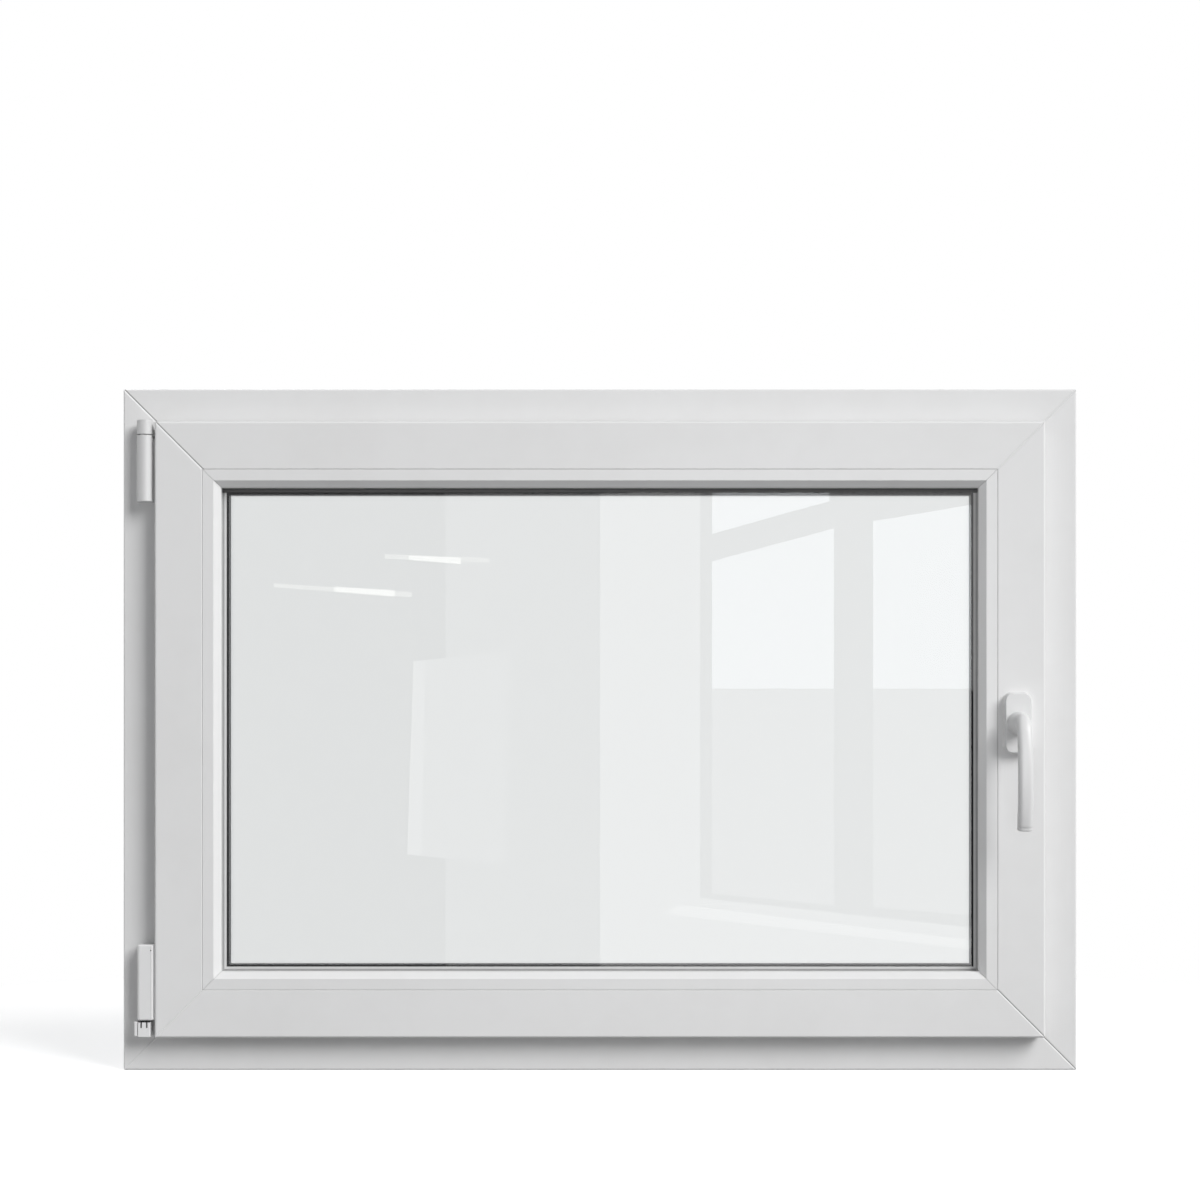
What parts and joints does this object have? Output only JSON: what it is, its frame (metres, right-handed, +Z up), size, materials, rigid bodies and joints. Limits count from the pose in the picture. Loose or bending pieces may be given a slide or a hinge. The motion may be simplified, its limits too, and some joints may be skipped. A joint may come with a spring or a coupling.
{
  "type": "tilt and turn window",
  "caption": "White single-sash window whose sash turns on its left edge or tilts in at its head, with a sealed glass unit, white hinges and a lever handle.",
  "frame": {"origin": "middle of the frame's bottom face, at half the frame's depth", "axes": "+X to the right and +Z up as seen from the room, +Y out of the building"},
  "size_m": [1.05, 0.1596, 0.75],
  "materials": {
    "frame_pvc": "smooth white PVC",
    "sash_pvc": "smooth white PVC",
    "bead_pvc": "smooth white PVC",
    "seal_grey": "soft grey sealing lip",
    "gasket_grey": "soft grey glazing gasket",
    "glass": "clear float glass",
    "spacer": "black spacer bar",
    "sealant": "black edge sealant",
    "block_plastic": "moulded setting block",
    "plated_steel": "silvery zinc plating",
    "hinge_white": "white powder coat",
    "handle_white": "smooth white powder coat",
    "cover_white": "white moulded cover"
  },
  "bodies": {
    "fixed_frame": {"bearing_cover": "cover_white", "drain_caps": "cover_white", "frame_bottom": "frame_pvc", "frame_left": "frame_pvc", "frame_right": "frame_pvc", "frame_seal": "seal_grey", "frame_top": "frame_pvc", "pivot_rest": "hinge_white", "stay_bearing": "hinge_white", "striker_top": "plated_steel", "strikers_bottom": "plated_steel", "strikers_right": "plated_steel"},
    "corner_pivot": {"pivot_pin": "plated_steel"},
    "sash": {"bead_bottom": "bead_pvc", "bead_left": "bead_pvc", "bead_right": "bead_pvc", "bead_top": "bead_pvc", "cam_top": "plated_steel", "cams_bottom": "plated_steel", "cams_right": "plated_steel", "drive_rods": "plated_steel", "edge_sealant": "sealant", "faceplate_bottom": "plated_steel", "faceplate_right": "plated_steel", "faceplate_top": "plated_steel", "gasket_inside": "gasket_grey", "gasket_outside": "gasket_grey", "glass_inner_pane": "glass", "glass_outer_pane": "glass", "glazing_blocks": "block_plastic", "handle_rosette": "handle_white", "lower_hinge": "hinge_white", "lower_hinge_cover": "cover_white", "sash_bottom": "sash_pvc", "sash_left": "sash_pvc", "sash_right": "sash_pvc", "sash_seal": "seal_grey", "sash_top": "sash_pvc", "spacer_bar": "spacer"},
    "handle": {"handle_lever": "handle_white", "handle_spindle": "plated_steel"},
    "stay_shoe": {"stay_shoe": "plated_steel"},
    "stay_arm": {"stay_arm": "plated_steel"},
    "stay_knuckle": {"stay_knuckle": "cover_white"}
  },
  "joints": [
    {"name": "tilt", "type": "hinge", "parent": "fixed_frame", "child": "corner_pivot", "pos_m": [-0.4988, -0.048, 0.044], "axis": [-1, 0, 0], "range_deg": [-9, 0]},
    {"name": "turn", "type": "hinge", "parent": "corner_pivot", "child": "sash", "pos_m": [-0.4988, -0.048, 0.044], "axis": [0, 0, -1], "range_deg": [0, 90]},
    {"name": "handle_turn", "type": "hinge", "parent": "sash", "child": "handle", "pos_m": [0.4559, -0.0683, 0.382], "axis": [0, -1, 0], "range_deg": [-180, 0]},
    {"name": "stay_slide", "type": "slide", "parent": "sash", "child": "stay_shoe", "axis": [-1, 0, 0], "range_m": [0, 0.005]},
    {"name": "stay_swing", "type": "hinge", "parent": "stay_shoe", "child": "stay_arm", "pos_m": [0.0012, -0.027, 0.697], "axis": [0, 0.0698, 0.9976], "range_deg": [-11.8, 0]},
    {"name": "knuckle_turn", "type": "hinge", "parent": "fixed_frame", "child": "stay_knuckle", "pos_m": [-0.4988, -0.048, 0.705], "axis": [0, 0, -1], "range_deg": [0, 90]}
  ],
  "couplings": [
    {"joint": "stay_slide", "follows": "tilt", "m_per_rad": -0.031831},
    {"joint": "stay_swing", "follows": "tilt", "ratio": 1.3111},
    {"joint": "knuckle_turn", "follows": "turn", "ratio": 1}
  ]
}
